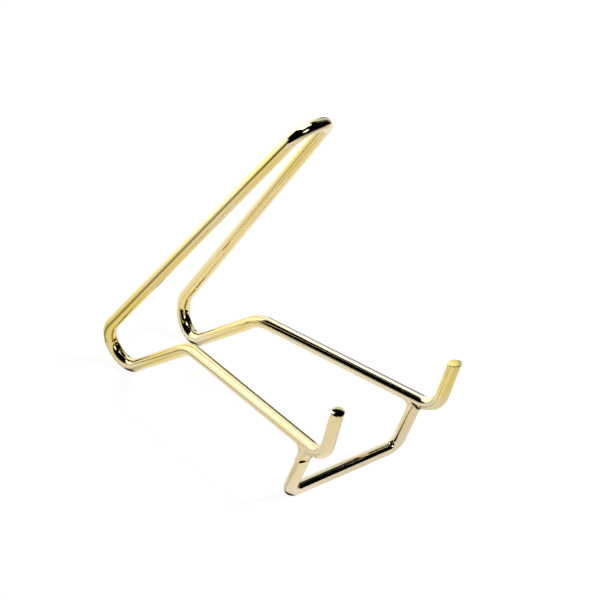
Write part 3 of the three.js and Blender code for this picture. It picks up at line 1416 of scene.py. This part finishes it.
    foot_span: Span = (18 / QUARTER_TURN, 42 / QUARTER_TURN)
    edge_softness: float = 0.015
    wall_scale: float = 2.2
    window_azimuth: float = math.radians(26)
    window_elevation: float = math.radians(20)
    window_rim: Span = (math.radians(16), math.radians(10))
    window_glow: float = 1.5
    sky_strength: float = 0.45
    mirrored_hue: Colour = (1.0, 1.06, 1.03)

    def walls(self, nodes: Nodes, way: bpy.types.NodeSocket) -> bpy.types.NodeSocket:
        """Adds the walls that the polished wire sees.

        Args:
            nodes: The world's nodes.
            way: The direction that is looked in.

        Returns:
            The walls' brightness in that direction.
        """
        ray = nodes.add("ShaderNodeSeparateXYZ", {0: way})
        turn = nodes.math("ARCTAN2", ray.outputs["X"], ray.outputs["Y"])
        share = nodes.math("MULTIPLY_ADD", turn, 1 / (2 * math.pi), RAMP_MIDDLE)
        ramp = nodes.add("ShaderNodeValToRGB", {"Fac": share})
        self.fill_ramp(ramp.color_ramp)
        low, high, top = nodes.add("ShaderNodeSeparateColor", {0: ramp.outputs["Color"]}).outputs
        height = nodes.product(nodes.math("ARCSINE", ray.outputs["Z"]), 2 / math.pi)
        glow = nodes.mix(nodes.remap(height, self.foot_span, (0.0, 1.0)), low, high)
        rim = (-self.edge_softness, self.edge_softness)
        below = nodes.remap(nodes.math("SUBTRACT", top, height), rim, (0.0, self.wall_scale))
        return nodes.product(glow, below)

    def fill_ramp(self, ramp: bpy.types.ColorRamp) -> None:
        """Sets the ramp that holds the walls' low and high brightness and their upper edge.

        Args:
            ramp: A new node's ramp.
        """
        while len(ramp.elements) > 1:
            ramp.elements.remove(ramp.elements[-1])
        for index, wall in enumerate(WALLS):
            place = wall.turn / FULL_TURN + RAMP_MIDDLE
            stop = ramp.elements[0] if index == 0 else ramp.elements.new(place)
            stop.position = place
            low = wall.low / self.wall_scale
            high = wall.high / self.wall_scale
            stop.color = (low, high, wall.top / QUARTER_TURN, 1.0)

    def build(self) -> None:
        """Makes the world that holds the room."""
        world = bpy.data.worlds.new("studio")
        world.use_nodes = True
        bpy.context.scene.world = world
        nodes = Nodes(world.node_tree)
        way = nodes.add("ShaderNodeTexCoord").outputs["Generated"]
        middle = direction(self.window_azimuth, self.window_elevation)
        facing = nodes.add("ShaderNodeVectorMath", {0: way, 1: middle}, operation="DOT_PRODUCT")
        rim = (math.cos(self.window_rim[0]), math.cos(self.window_rim[1]))
        window = nodes.remap(facing.outputs["Value"], rim, (0.0, self.window_glow))
        lit = nodes.total(self.walls(nodes, way), window)
        rays = nodes.add("ShaderNodeLightPath").outputs
        sky = nodes.mix(rays["Is Diffuse Ray"], 1.0, self.sky_strength)
        strength = nodes.mix(rays["Is Glossy Ray"], sky, lit)
        hue = nodes.blend(rays["Is Glossy Ray"], grey(1.0), (*self.mirrored_hue, 1.0))
        shown = nodes.add("ShaderNodeBackground", {"Color": hue, "Strength": strength})
        nodes.add("ShaderNodeOutputWorld", {"Surface": shown.outputs[0]})


@dataclass(frozen=True)
class Lamps:
    """A soft lamp, and a small soft box over the top loop that only the polished wire mirrors."""

    azimuth: float = math.radians(-38.6)
    elevation: float = math.radians(44.7)
    size: float = math.radians(14)
    strength: float = 3.2
    box_place: tuple[float, float, float] = (-19.5 * MM, -7.5 * MM, 205 * MM)
    box_size: tuple[float, float] = (51 * MM, 75 * MM)
    box_power: float = 0.05

    def build(self) -> None:
        """Hangs both lamps."""
        self.hang_lamp()
        self.hang_soft_box()

    def hang_lamp(self) -> None:
        """Hangs the soft lamp, hidden from the polished wire."""
        light = bpy.data.lights.new("soft_lamp", "SUN")
        light.angle = self.size
        light.energy = self.strength
        lamp = bpy.data.objects.new("soft_lamp", light)
        face_from(lamp, direction(self.azimuth, self.elevation))
        lamp.visible_glossy = False
        bpy.context.scene.collection.objects.link(lamp)

    def hang_soft_box(self) -> None:
        """Hangs the soft box, which faces straight down."""
        light = bpy.data.lights.new("soft_box", "AREA")
        light.shape = "RECTANGLE"
        light.size, light.size_y = self.box_size
        light.energy = self.box_power
        box = bpy.data.objects.new("soft_box", light)
        box.location = Vector(self.box_place)
        box.visible_camera = False
        box.visible_diffuse = False
        box.visible_shadow = False
        bpy.context.scene.collection.objects.link(box)


@dataclass(frozen=True)
class Camera:
    """The camera, which looks down on the stand from the front left."""

    azimuth: float = math.radians(38.96)
    elevation: float = math.radians(29.68)
    distance: float = 1356.6 * MM
    lens: float = 211.4
    sensor_width: float = 36.0
    furthest: float = 100.0
    aim_from_middle: tuple[float, float, float] = (-0.09 * MM, -21.43 * MM, -7.25 * MM)

    def build(self, middle: Vector) -> None:
        """Sets up the camera.

        Args:
            middle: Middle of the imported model.
        """
        back = direction(self.azimuth, self.elevation)
        data = bpy.data.cameras.new("camera")
        data.lens = self.lens
        data.sensor_width = self.sensor_width
        data.clip_end = self.furthest
        camera = bpy.data.objects.new("camera", data)
        camera.location = middle + Vector(self.aim_from_middle) + back * self.distance
        face_from(camera, back)
        bpy.context.scene.collection.objects.link(camera)
        bpy.context.scene.camera = camera


def main() -> None:
    """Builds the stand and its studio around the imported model."""
    logging.basicConfig(level=logging.INFO, format="%(name)s: %(message)s")
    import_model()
    cad_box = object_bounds()
    sizes = StandSizes()
    setting_out = SettingOut(sizes)
    drift = PlatingToneAndPaintedLight().build()
    marks = DrawingMarks().build()
    wire_plating = WIRE_PLATING.build(drift, marks)
    weld_plating = WELD_PLATING.build(drift, marks)
    BentWire(
        "bent_frame_wire",
        "frame_wire",
        setting_out.frame_corners(),
        sizes.wire_radius,
        end_setbacks=(-1.45 * MM, -0.6 * MM),
        cut_tilts=(Vector((-0.07, 0.05, 0.0)), Vector((-0.10, 0.34, 0.10))),
        dome=0.16 * MM,
    ).build(wire_plating)
    BentWire(
        "front_foot_wire_bent",
        "front_foot_wire",
        setting_out.foot_corners(),
        sizes.wire_radius,
        edge_round=0.1 * MM,
        end_setbacks=(0.3 * MM, 0.3 * MM),
    ).build(wire_plating)
    LegWeld(Side.LEFT, setting_out, painted_dark_spots=LEFT_PAINTED_DARK_SPOTS).build(weld_plating)
    LegWeld(
        Side.RIGHT,
        setting_out,
        length=6.5 * MM,
        lean=0.5 * MM,
        lip_thickness=0.08 * MM,
        waist_thickness=0.06 * MM,
        painted_dark_spots=RIGHT_PAINTED_DARK_SPOTS,
    ).build(weld_plating)
    cad_low, cad_high = cad_box
    PaleSheet().build(cad_low.z)
    Room().build()
    Lamps().build()
    Camera().build((cad_low + cad_high) / 2)
    bpy.context.scene.view_settings.view_transform = "Standard"


if __name__ == "__main__":
    main()
